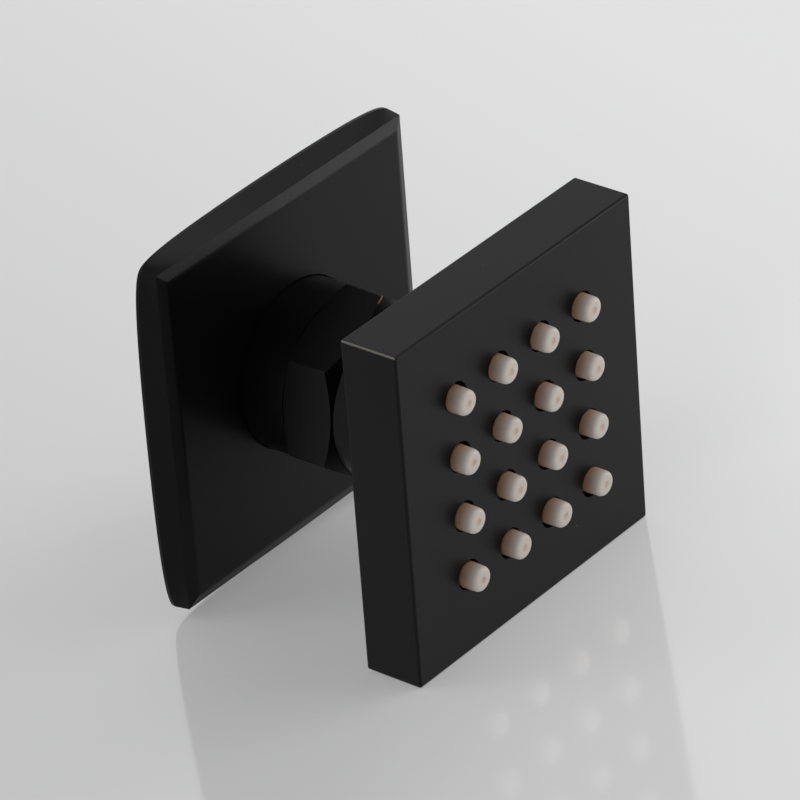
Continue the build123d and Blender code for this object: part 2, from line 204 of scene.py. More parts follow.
def turned(name, outline, steps=96):
    """Turns a closed outline of (radius, reach) in mm about the waterway."""
    clear_selection()
    bpy.ops.mesh.primitive_plane_add(size=MM)
    piece = name_it(name)
    bpy.ops.object.mode_set(mode="EDIT")
    bpy.ops.mesh.select_mode(type="VERT")
    bpy.ops.mesh.select_all(action="SELECT")
    bpy.ops.mesh.merge(type="CENTER")
    corners = [Vector((point[0], -point[1], 0)) * MM for point in rounded(outline)]
    bpy.ops.transform.translate(value=corners[0])
    for here, there in zip(corners, corners[1:]):
        bpy.ops.mesh.extrude_vertices_move(TRANSFORM_OT_translate={"value": there - here})
    if corners[0].x + corners[-1].x > 0:
        bpy.ops.mesh.extrude_vertices_move(
            TRANSFORM_OT_translate={"value": corners[0] - corners[-1]}
        )
    bpy.ops.mesh.select_all(action="SELECT")
    bpy.ops.mesh.remove_doubles(threshold=0.001 * MM)
    bpy.ops.mesh.select_all(action="SELECT")
    bpy.ops.mesh.spin(steps=steps, angle=math.tau, center=(0, 0, 0), axis=(0, 1, 0))
    clean(piece)
    return piece


print("The lathe is ready")

# %% [markdown]
# ## The wall plate
# The escutcheon hides the hole in the tiles. Its face is a flat square with a straight bevelled
# border, and its four sides flare back to a rim that is a little bowed. One closed loop of edges can
# describe all of it: it starts as the face's edge, is extruded out over the border and back to the
# rim, in under the plate, round the hub, and forward through the hole. Each step moves the loop's
# points to the next line by a simple rule. The loop is bridged to its start. Last, the edge between
# face and border is softened, and the mitres are marked sharp so that they stay crisp.

# %% Sizes of the wall plate
WALL = 1.5
PLATE_FRONT = 4.8
FACE_HALF = 24.08
BORDER_HALF, BORDER_BACK = 25.64, 4.145
RIM_HALF, RIM_FRONT = 27.75, WALL + 0.5
RIM_BOW = 1.9
CORNER_PULL, MIDDLE_PULL = 2, 12
RECESS_HALF, RECESS_CORNER, RECESS_FLOOR = 23.3, 5.0, 3.4
BOSS_RADIUS, BORE_RADIUS = 17.58, 12.25
GROOVE_RADIUS, GROOVE_BACK, GROOVE_FRONT = 13.98, 2.21, 4.09
SIDE_EDGES = 32


def bowed_rim(x, z):
    """Point of the bowed rim that belongs to this point of the border."""
    flat = abs(x) > abs(z) or (abs(x) == abs(z) and x * z > 0)
    along, out = (z, x) if flat else (x, z)
    end, crown = RIM_HALF - RIM_BOW, RIM_HALF + RIM_BOW / 15
    t = (along / BORDER_HALF + 1) / 2
    pulls = [
        (-end, end),
        (CORNER_PULL - end, crown),
        (-MIDDLE_PULL, crown),
        (MIDDLE_PULL, crown),
        (end - CORNER_PULL, crown),
        (end, end),
    ]
    shares = [math.comb(5, n) * t**n * (1 - t) ** (5 - n) for n in range(6)]
    run = sum(share * pull[0] for share, pull in zip(shares, pulls))
    bow = sum(share * pull[1] for share, pull in zip(shares, pulls)) * math.copysign(1, out)
    return (bow, run) if flat else (run, bow)


def border_square(x, z):
    """Point of the border's outer line that belongs to this point of the face's edge."""
    return x * BORDER_HALF / FACE_HALF, z * BORDER_HALF / FACE_HALF


def straight_back(x, z):
    """A rule that leaves a point where it is, so that the loop moves along Y alone."""
    return x, z


def rounded_square(half, radius):
    """A rule that moves a point straight out or in to a square with rounded corners."""

    def rule(x, z):
        way = Vector((x, z)).normalized()
        reach = half / max(abs(way.x), abs(way.y))
        middle = Vector((math.copysign(half - radius, x), math.copysign(half - radius, z)))
        corner = way.dot(middle)
        gap = middle.length_squared - corner * corner
        if min(abs(way.x), abs(way.y)) * reach > half - radius and gap < radius * radius:
            reach = corner + math.sqrt(radius * radius - gap)
        return way.x * reach, way.y * reach

    return rule


def circle(radius):
    """A rule that moves a point straight out or in to a circle."""
    return lambda x, z: tuple(Vector((x, z)).normalized() * radius)


print("middle of the bowed rim:", bowed_rim(0, BORDER_HALF))
print("corner of the bowed rim:", bowed_rim(BORDER_HALF, BORDER_HALF))

# %% Walk the loop round the section
clear_selection()
bpy.ops.mesh.primitive_plane_add(
    size=2 * FACE_HALF * MM,
    location=(0, -PLATE_FRONT * MM, 0),
    rotation=(math.radians(90), 0, 0),
)
plate = name_it("escutcheon_plate")
select_by(plate, "FACE", lambda face: True)
bpy.ops.mesh.delete(type="ONLY_FACE")
select_by(plate, "EDGE", lambda edge: True)
bpy.ops.mesh.subdivide(number_cuts=SIDE_EDGES - 1)

loop_path = [
    (BORDER_BACK, border_square),
    (RIM_FRONT, bowed_rim),
    (WALL, straight_back),
    (WALL, rounded_square(RECESS_HALF, RECESS_CORNER)),
    (RECESS_FLOOR, rounded_square(RECESS_HALF, RECESS_CORNER)),
    (RECESS_FLOOR, circle(BOSS_RADIUS)),
    (WALL, circle(BOSS_RADIUS)),
    (WALL, circle(BORE_RADIUS)),
    (GROOVE_BACK, circle(BORE_RADIUS)),
    (GROOVE_BACK, circle(GROOVE_RADIUS)),
    (GROOVE_FRONT, circle(GROOVE_RADIUS)),
    (GROOVE_FRONT, circle(BORE_RADIUS)),
    (PLATE_FRONT, circle(BORE_RADIUS)),
]
select_by(plate, "EDGE", lambda edge: True)
for reach, rule in loop_path:
    bpy.ops.mesh.extrude_edges_move()
    mesh = bmesh.from_edit_mesh(plate.data)
    for point in mesh.verts:
        if point.select:
            x, z = rule(point.co.x / MM, point.co.z / MM)
            point.co = Vector((x, -reach, z)) * MM
    bmesh.update_edit_mesh(plate.data)
print("the loop made", len(bmesh.from_edit_mesh(plate.data).faces), "faces")

# %% Close the face and soften its edge
FACE_EDGE = 0.32
MITRE_FROM, MITRE_BACK = 24.2, WALL + 0.45


def on_front(point):
    """True on the plate's front plane."""
    return near(-point.co.y, PLATE_FRONT)


def on_border(point):
    """True where the face meets its bevelled border."""
    return on_front(point) and near(max(abs(point.co.x), abs(point.co.z)), FACE_HALF)


def on_hole(point):
    """True on the front edge of the hole."""
    return on_front(point) and near(math.hypot(point.co.x, point.co.z), BORE_RADIUS)


select_by(
    plate, "EDGE", lambda edge: all(map(on_border, edge.verts)) or all(map(on_hole, edge.verts))
)
bpy.ops.mesh.bridge_edge_loops()
clean(plate)
select_by(plate, "EDGE", lambda edge: all(map(on_border, edge.verts)))
print("edges where the border meets the face:", count_picked(plate))
bpy.ops.mesh.bevel(offset=FACE_EDGE * MM, segments=4, affect="EDGES", clamp_overlap=False)
clean(plate)


def on_mitre(edge):
    """True for the mitres of the border and of the flaring sides."""
    return all(
        near(abs(point.co.x) - abs(point.co.z), 0, 0.03)
        and abs(point.co.x) > MITRE_FROM * MM
        and -point.co.y > MITRE_BACK * MM
        for point in edge.verts
    )


select_by(plate, "EDGE", on_mitre)
print("mitre edges:", count_picked(plate))
bpy.ops.mesh.mark_sharp()
smooth(plate, 15)
mounted(plate, "escutcheon", "black_coating", "escutcheon")

# %% [markdown]
# ## The inlet thread
# The inlet is a G1/2 pipe thread: 14 turns to the inch and 1.16 mm deep, with rounded crests. It is
# masked when the fitting is coated, so the bare brass shows. The lathe makes a finely divided
# sleeve, and a short loop then moves its points in or out by their place along the helix.

# %% Turn the sleeve
THREAD_RADIUS = 10.4775
THREAD_PITCH = 25.4 / 14
THREAD_DEPTH = 1.162
INLET_LENGTH = 12.5
INLET_BORE, INLET_FLOOR = 7.7, -4.9
WATERWAY_RADIUS = 4.5
RELIEF_RADIUS, RELIEF_FRONT = 9.37, 4.0
RINGS = 120

thread_line = [(THREAD_RADIUS, -INLET_LENGTH * n / RINGS) for n in range(RINGS + 1)]
inlet = turned(
    "inlet_thread",
    [(WATERWAY_RADIUS, RELIEF_FRONT), (RELIEF_RADIUS, RELIEF_FRONT), (RELIEF_RADIUS, 0.0)]
    + thread_line
    + [(INLET_BORE, -INLET_LENGTH), (INLET_BORE, INLET_FLOOR), (WATERWAY_RADIUS, INLET_FLOOR)],
    steps=112,
)
print(f"thread: {INLET_LENGTH / THREAD_PITCH:.1f} turns of {THREAD_PITCH:.3f} mm")

# %% Cut the helix
CREST_SHARE, FLANK_SHARE = 0.12, 0.76
END_CHAMFER = 1.2
THREADED_FROM = 9.5

for point in inlet.data.vertices:
    x, y, z = point.co / MM
    if y < -0.001 or math.hypot(x, z) < THREADED_FROM:
        continue
    phase = (-y / THREAD_PITCH - math.atan2(z, x) / math.tau) % 1
    height = min(max((abs(2 * phase - 1) - CREST_SHARE) / FLANK_SHARE, 0), 1)
    height = height * height * (3 - 2 * height)
    radius = THREAD_RADIUS - THREAD_DEPTH * (1 - height)
    radius = min(radius, THREAD_RADIUS - END_CHAMFER + (INLET_LENGTH - y))
    point.co.x *= radius / math.hypot(x, z)
    point.co.z *= radius / math.hypot(x, z)
smooth(inlet, 40)
mounted(inlet, "body", "bare_brass", "swivel_body")

# %% [markdown]
# ## The collar and the hexagon
# The plumber's 24 mm spanner grips the hexagon. On the real bar the hexagon is milled and its
# corners are then turned away at 30 degrees, which leaves a curved edge on each flat. The same two
# steps work here: a six-sided cylinder is cut by a turned barrel. The collar behind it is plain, and
# the escutcheon slides on it.

# %% Six flats, cut by a barrel
HEX_BACK, HEX_FRONT = 11.8, 20.0
FLATS_HALF = 12
HEX_CORNER = FLATS_HALF / math.cos(math.radians(30))
HEX_TURN = 23
HEX_EDGE = 0.22
FACE_RADIUS = 11.85
CHAMFER = (HEX_CORNER - FACE_RADIUS) * math.tan(math.radians(30))
OVERCUT = 0.2
OVERCUT_RISE = OVERCUT * math.tan(math.radians(30))

clear_selection()
bpy.ops.mesh.primitive_cylinder_add(
    vertices=6,
    radius=HEX_CORNER * MM,
    depth=(HEX_FRONT - HEX_BACK) * MM,
    location=(0, -(HEX_FRONT + HEX_BACK) / 2 * MM, 0),
    rotation=(math.radians(90), 0, 0),
)
hexagon = name_it("collar_and_hexagon")
select_by(hexagon, "VERT", lambda point: True)
mesh = bmesh.from_edit_mesh(hexagon.data)
turn = Matrix.Rotation(math.radians(30 - HEX_TURN), 4, "Y")
bmesh.ops.transform(mesh, matrix=turn, verts=mesh.verts)
select_by(hexagon, "EDGE", lambda edge: abs(edge.verts[0].co.y - edge.verts[1].co.y) > MM)
bpy.ops.mesh.bevel(offset=HEX_EDGE * MM, segments=3, affect="EDGES")
clean(hexagon)

barrel = turned(
    "barrel",
    [
        (0, HEX_BACK),
        (FACE_RADIUS, HEX_BACK),
        (HEX_CORNER + OVERCUT, HEX_BACK + CHAMFER + OVERCUT_RISE),
        (HEX_CORNER + OVERCUT, HEX_FRONT - CHAMFER - OVERCUT_RISE),
        (FACE_RADIUS, HEX_FRONT),
        (0, HEX_FRONT),
    ],
    steps=144,
)
apply_modifier(hexagon, "BOOLEAN", operation="INTERSECT", object=barrel, solver="EXACT")
bpy.data.objects.remove(barrel)
print("hexagon:", len(hexagon.data.polygons), "faces after the barrel")

# %% Turn the collar and the bore
COLLAR_RADIUS = 12.1
COLLAR_FRONT = HEX_BACK + 0.001
SOCKET_RADIUS, SOCKET_BACK = 8.8, 14.22

collar = turned(
    "collar",
    [
        (3.0, 12.5),
        (3.0, WALL),
        (COLLAR_RADIUS, WALL, 0.25),
        (COLLAR_RADIUS, COLLAR_FRONT),
        (11.0, COLLAR_FRONT),
        (11.0, 12.5),
    ],
    steps=144,
)
apply_modifier(hexagon, "BOOLEAN", operation="UNION", object=collar, solver="EXACT")
bpy.data.objects.remove(collar)
bore = turned(
    "bore",
    [
        (0, 1.0),
        (WATERWAY_RADIUS, 1.0),
        (WATERWAY_RADIUS, SOCKET_BACK),
        (SOCKET_RADIUS, SOCKET_BACK),
        (SOCKET_RADIUS, 21.0),
        (0, 21.0),
    ],
)
apply_modifier(hexagon, "BOOLEAN", operation="DIFFERENCE", object=bore, solver="EXACT")
bpy.data.objects.remove(bore)
clean(hexagon)
smooth(hexagon, 24)
mounted(hexagon, "body", "black_coating", "swivel_body")

# %% [markdown]
# ## The ring nut and the ball
# The ring nut traps the ball. It is turned and then coated, so it looks a little glossier than the
# plate. The ball and its neck are one piece of bare brass, which shows when the head is tilted.

# %% Ring nut
ring_nut = turned(
    "ring_nut_body",
    [
        (10.35, HEX_FRONT),
        (11.85, HEX_FRONT, 0.3),
        (11.85, 27.2, 0.8),
        (8.2, 27.2, 0.2),
        (7.7, 26.2, 0.2),
        (10.05, 26.2),
        (10.05, 24.5),
        (10.35, 24.5),
    ],
    steps=144,
)
smooth(ring_nut)
mounted(ring_nut, "body", "black_coating", "ring_nut")

# %% Ball, neck, shoulder and stem
BALL_CENTRE, BALL_RADIUS = 21.9, 8.5
BALL_FLAT, BALL_BACK = 4.2, 14.51
NECK_RADIUS = 4.9
STEM_BORE = 2.4
SHOULDER_BACK, SHOULDER_FRONT, STEM_FRONT = 29.796, 30.996, 35.996


def ball_line(first, last, count):
    """Points of the ball's outline between two radii, from its back to its front."""
    start = math.pi - math.asin(first / BALL_RADIUS)
    end = math.asin(last / BALL_RADIUS)
    angles = [start + (end - start) * n / count for n in range(count + 1)]
    return [(BALL_RADIUS * math.sin(a), BALL_CENTRE + BALL_RADIUS * math.cos(a)) for a in angles]


stem = turned(
    "ball_and_stem",
    ball_line(BALL_FLAT, NECK_RADIUS, 40)
    + [
        (NECK_RADIUS, SHOULDER_BACK, 0.45),
        (6.5, SHOULDER_BACK, 0.15),
        (6.5, SHOULDER_FRONT),
        (5.0, SHOULDER_FRONT),
        (5.0, STEM_FRONT, 0.3),
        (STEM_BORE, STEM_FRONT),
        (STEM_BORE, BALL_BACK),
    ],
)
smooth(stem)
mounted(stem, "ball", "bare_brass", "ball_stem")

# %% [markdown]
# ## The head shell
# The head is a shallow square box, 50 mm wide and 9 mm deep, whose face and sides are one piece. Its
# edges are crisp but not sharp. A cube is bevelled all round, its back is inset and pushed in to
# leave the walls, and sixteen cylinders cut the nozzle holes, whose rims are then broken.

# %% Box with walls
HEAD_BACK, HEAD_FRONT, HEAD_HALF = 33.996, 42.996, 25.0
FACE_BACK = HEAD_FRONT - 1.8
EDGE = 0.4
SIDE_WALL = 2.0

clear_selection()
head_middle = (0, -(HEAD_BACK + HEAD_FRONT) / 2 * MM, 0)
bpy.ops.mesh.primitive_cube_add(size=2 * HEAD_HALF * MM, location=head_middle)
bpy.context.object.scale.y = (HEAD_FRONT - HEAD_BACK) / (2 * HEAD_HALF)
shell = name_it("head_shell_body")
select_by(shell, "EDGE", lambda edge: True)
bpy.ops.mesh.bevel(offset=EDGE * MM, segments=4, affect="EDGES")
select_by(shell, "FACE", lambda face: face.normal.y > 0.99 and face.calc_area() > 0.001)
bpy.ops.mesh.inset(thickness=(SIDE_WALL - EDGE) * MM)
push_in = (0, -(FACE_BACK - HEAD_BACK) * MM, 0)
bpy.ops.mesh.extrude_region_move(TRANSFORM_OT_translate={"value": push_in})
clean(shell)
print("box with walls:", len(shell.data.polygons), "faces")

# %% Sixteen holes
NOZZLE_PITCH = 9.0
HOLE_RADIUS = 2.15
RIM_BREAK = 0.12
nozzle_places = [
    ((column - 1.5) * NOZZLE_PITCH, (row - 1.5) * NOZZLE_PITCH)
    for row in range(4)
    for column in range(4)
]
clear_selection()
for x, z in nozzle_places:
    bpy.ops.mesh.primitive_cylinder_add(
        vertices=64,
        radius=HOLE_RADIUS * MM,
        depth=6 * MM,
        location=(x * MM, -HEAD_FRONT * MM, z * MM),
        rotation=(math.radians(90), 0, 0),
    )
    bpy.context.object.name = f"drill_{x}_{z}"
clear_selection()
drills = [o for o in bpy.data.objects if o.name.startswith("drill_")]
for drill in drills:
    drill.select_set(True)
bpy.context.view_layer.objects.active = drills[0]
bpy.ops.object.join()
apply_modifier(shell, "BOOLEAN", operation="DIFFERENCE", object=drills[0], solver="EXACT")
bpy.data.objects.remove(drills[0])


def on_hole_rim(edge):
    """True for the front edge of a nozzle hole."""
    for point in edge.verts:
        x, z = point.co.x / MM, point.co.z / MM
        nearest = min(math.hypot(x - a, z - b) for a, b in nozzle_places)
        if not near(-point.co.y, HEAD_FRONT) or abs(nearest - HOLE_RADIUS) > 0.02:
            return False
    return True


clean(shell)
select_by(shell, "EDGE", on_hole_rim)
bpy.ops.mesh.bevel(offset=RIM_BREAK * MM, segments=2, affect="EDGES")
clean(shell)
smooth(shell, 30)
mounted(shell, "head", "black_coating", "head_shell")

# %% [markdown]
# ## The nozzle mat
# The sixteen nozzles are one silicone moulding: a mat behind the face with a soft tapered nozzle at
# each hole. You rub them with a thumb to break the limescale. One nozzle is turned on the lathe and
# copied, and the whole mat sits turned by 0.8 degrees, because a soft part is never quite straight.

# %% One nozzle, then sixteen
MAT_BACK, MAT_FRONT, TIP = 39.696, 41.196, 45.196
MAT_SIDE, MAT_CORNER = 44.8, 1.5
MAT_TURN = 0.8
NOZZLE_ROOT = MAT_FRONT - 0.3

nozzle = turned(
    "nozzle",
    [
        (0, TIP - 0.08),
        (0.26, TIP - 0.07, 0.1),
        (0.5, TIP, 0.24),
        (1.76, TIP, 0.68),
        (1.82, MAT_FRONT + 1.6, 4.0),
        (1.85, NOZZLE_ROOT),
        (0, NOZZLE_ROOT),
    ],
    steps=48,
)
smooth(nozzle, 50)

clear_selection()
bpy.ops.mesh.primitive_cube_add(size=MM, location=(0, -(MAT_BACK + MAT_FRONT) / 2 * MM, 0))
bpy.context.object.scale = (MAT_SIDE, MAT_FRONT - MAT_BACK, MAT_SIDE)
mat = name_it("nozzle_mat_moulding")
select_by(mat, "EDGE", lambda edge: abs(edge.verts[0].co.y - edge.verts[1].co.y) > MM)
bpy.ops.mesh.bevel(offset=MAT_CORNER * MM, segments=4, affect="EDGES")
clean(mat)
smooth(mat)
nozzles = []
for x, z in nozzle_places:
    copy = nozzle.copy()
    copy.data = nozzle.data.copy()
    bpy.context.scene.collection.objects.link(copy)
    copy.data.transform(Matrix.Translation(Vector((x, 0, z)) * MM))
    nozzles.append(copy)
bpy.data.objects.remove(nozzle)
take(mat)
for copy in nozzles:
    copy.select_set(True)
bpy.ops.object.join()
mat.data.transform(Matrix.Rotation(-math.radians(MAT_TURN), 4, "Y"))
mounted(mat, "head", "cream_silicone", "nozzle_mat")

# %% [markdown]
# ## The back of the head and the inlet's fittings
# The cover plate, its four countersunk screws, the sealing washer and the strainer already have
# their true shapes in the CAD part. A CAD mesh is loose triangles with normals of its own, so each
# piece here is a copy whose stored normals are cleared and whose points are merged. After that it
# can be shaded smooth like the pieces that were modelled by hand.

# %% Copies of CAD nodes


def dressed_copy(node, name, body, slot):
    """A merged and smoothed copy of a CAD node."""
    original = frame["nodes"][node]
    copy = bpy.data.objects.new(name, original.data.copy())
    bpy.context.scene.collection.objects.link(copy)
    copy.data.materials.clear()
    take(copy)
    bpy.ops.mesh.customdata_custom_splitnormals_clear()
    clean(copy)
    smooth(copy, 28)
    mounted(copy, body, slot, node)
    return copy


cover = dressed_copy("head_cover", "head_cover_plate", "head", "black_coating")
screws = dressed_copy("cover_screws", "countersunk_screws", "head", "stainless_steel")
washer = dressed_copy("inlet_washer", "sealing_washer", "body", "black_rubber")
strainer_rim = dressed_copy("strainer_ring", "strainer_rim", "body", "black_rubber")
strainer_disc = dressed_copy("strainer_screen", "strainer_disc", "body", "stainless_steel")

# %% [markdown]
# ## A small tool for materials
# A material is a little network of nodes. One function is enough to add any node: it sets the
# values and makes the links. Colours are written as on a paint card, in sRGB hex, and one function
# turns them into the linear values that the renderer works with. Patterns read Object coordinates,
# which are metres on the piece, so a scale of 1 / (0.3 * MM) makes features about 0.3 mm wide.

# %% Nodes and colours


def paint(card):
    """Linear colour of an sRGB hex value."""
    parts = [int(card[n : n + 2], 16) / 255 for n in (1, 3, 5)]
    return [c / 12.92 if c <= 0.04045 else ((c + 0.055) / 1.055) ** 2.4 for c in parts] + [1]


def add(material, kind, values=None, links=None, **settings):
    """Adds one node with its settings, socket values and incoming links."""
    node = material.node_tree.nodes.new(kind)
    for setting, value in settings.items():
        setattr(node, setting, value)
    for socket, value in (values or {}).items():
        node.inputs[socket].default_value = value
    for socket, source in (links or {}).items():
        material.node_tree.links.new(source, node.inputs[socket])
    return node


def new_material(name):
    """An empty material, its shader and its Object coordinates."""
    material = bpy.data.materials.new(name)
    material.use_nodes = True
    material.node_tree.nodes.clear()
    shader = add(material, "ShaderNodeBsdfPrincipled")
    add(material, "ShaderNodeOutputMaterial", links={"Surface": shader.outputs["BSDF"]})
    place = add(material, "ShaderNodeTexCoord").outputs["Object"]
    return material, shader, place


def plug(material, source, node, socket):
    """Links one output to one input."""
    material.node_tree.links.new(source, node.inputs[socket])


def wear_it(material, *pieces):
    """Gives the pieces this material and no other."""
    for piece in pieces:
        piece.data.materials.clear()
        piece.data.materials.append(material)
    print(material.name, "on", ", ".join(piece.name for piece in pieces))


# %% [markdown]
# ## Matte black coating on brass
# The fitting is brass with a thin, baked, matte black coating. The coating is almost neutral and
# very dark, so nearly all that the eye sees is the soft reflection on it. Its grain is a fine orange
# peel, about 0.2 mm wide, and a little dust always shows on black. Where a hard edge was knocked or
# rubbed, the coating is gone along a short line. The same kind of line, pale and not metallic,
# paints a highlight along an edge. Such a line is given by its start, its end, its half width, its
# colour and how metallic it is.

# %% Matte black coated brass


def matte_black(name, sheen, scuff_and_highlight=None):
    """The coating, with its middle roughness, marked along one line if given: a scuff that bares the
    metal, or a painted highlight.
    """
    material, shader, place = new_material(name)
    cloud = add(
        material, "ShaderNodeTexNoise", {"Scale": 1 / (9 * MM), "Detail": 3.0}, {"Vector": place}
    ).outputs["Fac"]
    grain = add(
        material, "ShaderNodeTexNoise", {"Scale": 1 / (0.2 * MM), "Detail": 2.0}, {"Vector": place}
    ).outputs["Fac"]
    tone = add(
        material,
        "ShaderNodeMix",
        {6: paint("#08080a"), 7: paint("#0d0d0e")},
        {"Factor": cloud},
        data_type="RGBA",
    )
    specks = add(
        material,
        "ShaderNodeTexVoronoi",
        {"Scale": 1 / (3.2 * MM), "Randomness": 1.0},
        {"Vector": place},
    )
    chance = add(material, "ShaderNodeSeparateColor", links={"Color": specks.outputs["Color"]})
    speck_size = add(
        material,
        "ShaderNodeMapRange",
        {"From Min": 0.72, "From Max": 1.0, "To Min": 0.0, "To Max": 0.036},
        {"Value": chance.outputs[0]},
    ).outputs["Result"]
    dust = add(
        material,
        "ShaderNodeMath",
        links={0: specks.outputs["Distance"], 1: speck_size},
        operation="LESS_THAN",
    ).outputs[0]
    dusty = add(
        material,
        "ShaderNodeMix",
        {7: paint("#4a4a48")},
        {"Factor": dust, 6: tone.outputs[2]},
        data_type="RGBA",
    )
    roughness = add(
        material,
        "ShaderNodeMapRange",
        {"From Min": 0.3, "From Max": 0.7, "To Min": sheen - 0.04, "To Max": sheen + 0.05},
        {"Value": grain},
    )
    colour, rough = dusty.outputs[2], roughness.outputs["Result"]
    # The line is a scuff that bares the metal, or a pale painted highlight.
    if scuff_and_highlight:
        start, end = (Vector(point) * MM for point in scuff_and_highlight[:2])
        half_width, scuff_and_highlight_colour, metallic = scuff_and_highlight[2:]
        span = end - start
        from_start = add(
            material, "ShaderNodeVectorMath", {1: start}, {0: place}, operation="SUBTRACT"
        ).outputs[0]
        share = add(
            material,
            "ShaderNodeVectorMath",
            {1: span / span.length_squared},
            {0: from_start},
            operation="DOT_PRODUCT",
        ).outputs["Value"]
        share = add(material, "ShaderNodeClamp", links={"Value": share}).outputs[0]
        nearest = add(
            material, "ShaderNodeVectorMath", {0: span}, {"Scale": share}, operation="SCALE"
        ).outputs[0]
        off_line = add(
            material,
            "ShaderNodeVectorMath",
            links={0: from_start, 1: nearest},
            operation="DISTANCE",
        ).outputs["Value"]
        ragged = add(
            material,
            "ShaderNodeMath",
            {1: half_width * MM},
            {0: grain, 2: off_line},
            operation="MULTIPLY_ADD",
        )
        scuff_and_highlight_mask = add(
            material,
            "ShaderNodeMapRange",
            {
                "From Min": half_width * MM,
                "From Max": 1.5 * half_width * MM,
                "To Min": 1.0,
                "To Max": 0.0,
            },
            {"Value": ragged.outputs[0]},
        ).outputs["Result"]
        metal = add(material, "ShaderNodeMath", {1: metallic}, {0: scuff_and_highlight_mask}, operation="MULTIPLY")
        plug(material, metal.outputs[0], shader, "Metallic")
        colour = add(
            material,
            "ShaderNodeMix",
            {7: paint(scuff_and_highlight_colour)},
            {"Factor": scuff_and_highlight_mask, 6: colour},
            data_type="RGBA",
        ).outputs[2]
    plug(material, colour, shader, "Base Color")
    plug(material, rough, shader, "Roughness")
    bump = add(
        material, "ShaderNodeBump", {"Strength": 0.12, "Distance": 0.01 * MM}, {"Height": grain}
    )
    plug(material, bump.outputs["Normal"], shader, "Normal")
    shader.inputs["IOR"].default_value = 1.5
    shader.inputs["Specular IOR Level"].default_value = 0.17
    return material


coating = matte_black("matte_black_coated_brass", 0.34)
nut_coating = matte_black("satin_black_turned_nut", 0.3)
CORNER_SCUFF = ((1.95, -18.9, 13.7), (0.5, -19.2, 13.25), 0.12, "#c08a64", 1.0)
# The pale line on the head's upper left edge is a painted highlight, not wear.
EDGE_PAINTED_HIGHLIGHT = ((-24.88, -34.3, 24.88), (-24.88, -42.7, 24.88), 0.2, "#7d7971", 0.0)
scuffed_coating = matte_black("scuffed_black_coated_brass", 0.34, CORNER_SCUFF)
edge_coating_with_painted_highlight = matte_black("polished_coating_with_painted_highlight", 0.32, EDGE_PAINTED_HIGHLIGHT)
wear_it(coating, plate, shell, cover)
wear_it(scuffed_coating, hexagon)
wear_it(nut_coating, ring_nut)

# %% [markdown]
# ## Edges that hands polish, and a painted highlight
# Fingers turn and tilt the head by its edges, so its coating is a little glossier there. A pale line
# along the upper left edge is a painted highlight. The rounded edges are found by their slanted
# faces and get a finish of their own.

# %% Polished edges with a painted highlight


def is_slanted(face):
    """True for a face that looks along none of the three axes."""
    return max(abs(face.normal.x), abs(face.normal.y), abs(face.normal.z)) < 0.995


def is_outer_edge(face):
    """True for the rounded edges on the outside of the head."""
    middle = face.calc_center_median()
    return is_slanted(face) and max(abs(middle.x), abs(middle.z)) > (HEAD_HALF - EDGE) * MM


select_by(shell, "FACE", is_outer_edge)
bpy.ops.object.material_slot_add()
shell.active_material = edge_coating_with_painted_highlight
bpy.ops.object.material_slot_assign()
clear_selection()
print("polished faces:", sum(face.material_index == 1 for face in shell.data.polygons))

# %% [markdown]
# ## Bare brass
# The thread and the ball stay uncoated. Freshly turned brass is a warm yellow metal with fine rings
# from the lathe tool. The rings run round the axis, so the pattern depends on Y alone.

# %% Turned brass
brass, shader, place = new_material("turned_bare_brass")
along = add(brass, "ShaderNodeSeparateXYZ", links={"Vector": place}).outputs["Y"]
tool_marks = add(
    brass,
    "ShaderNodeTexNoise",
    {"Scale": 1 / (0.12 * MM), "Detail": 2.0},
    {"W": along},
    noise_dimensions="1D",
).outputs["Fac"]
tarnish = add(
    brass, "ShaderNodeTexNoise", {"Scale": 1 / (4 * MM), "Detail": 4.0}, {"Vector": place}
).outputs["Fac"]
tone = add(brass, "ShaderNodeMix", links={"Factor": tarnish}, data_type="RGBA")
tone.inputs[6].default_value = paint("#b98f4e")
tone.inputs[7].default_value = paint("#d9b874")
plug(brass, tone.outputs[2], shader, "Base Color")
shader.inputs["Metallic"].default_value = 1.0
roughness = add(brass, "ShaderNodeMapRange", {"To Min": 0.2, "To Max": 0.38}, {"Value": tool_marks})
plug(brass, roughness.outputs["Result"], shader, "Roughness")
bump = add(
    brass, "ShaderNodeBump", {"Strength": 0.25, "Distance": 0.01 * MM}, {"Height": tool_marks}
)
plug(brass, bump.outputs["Normal"], shader, "Normal")
wear_it(brass, inlet, stem)

# %% [markdown]
# ## Silicone
# The nozzles are moulded silicone of a pale cream. Light goes a little way into it and comes out
# again, which softens every shadow on it. The colour is painted browner towards the face, as painted
# shade there, and paler at the tip, as a painted sheen. The outlet in each tip is a little browner,
# in a small disc. That tone depends on the distance from the nearest nozzle's axis.

# %% Moulded silicone
silicone, shader, place = new_material("moulded_cream_silicone")
straight = add(
    silicone,
    "ShaderNodeVectorRotate",
    {"Angle": math.radians(MAT_TURN)},
    {"Vector": place},
    rotation_type="Y_AXIS",
).outputs["Vector"]
cell = add(
    silicone,
    "ShaderNodeVectorMath",
    {1: (1 / (NOZZLE_PITCH * MM), 0, 1 / (NOZZLE_PITCH * MM))},
    {0: straight},
    operation="MULTIPLY",
).outputs[0]
within = add(silicone, "ShaderNodeVectorMath", links={0: cell}, operation="FRACTION").outputs[0]
centred = add(
    silicone, "ShaderNodeVectorMath", {1: (0.5, 0, 0.5)}, {0: within}, operation="SUBTRACT"
).outputs[0]
from_axis = add(
    silicone, "ShaderNodeVectorMath", links={0: centred}, operation="LENGTH"
).outputs["Value"]
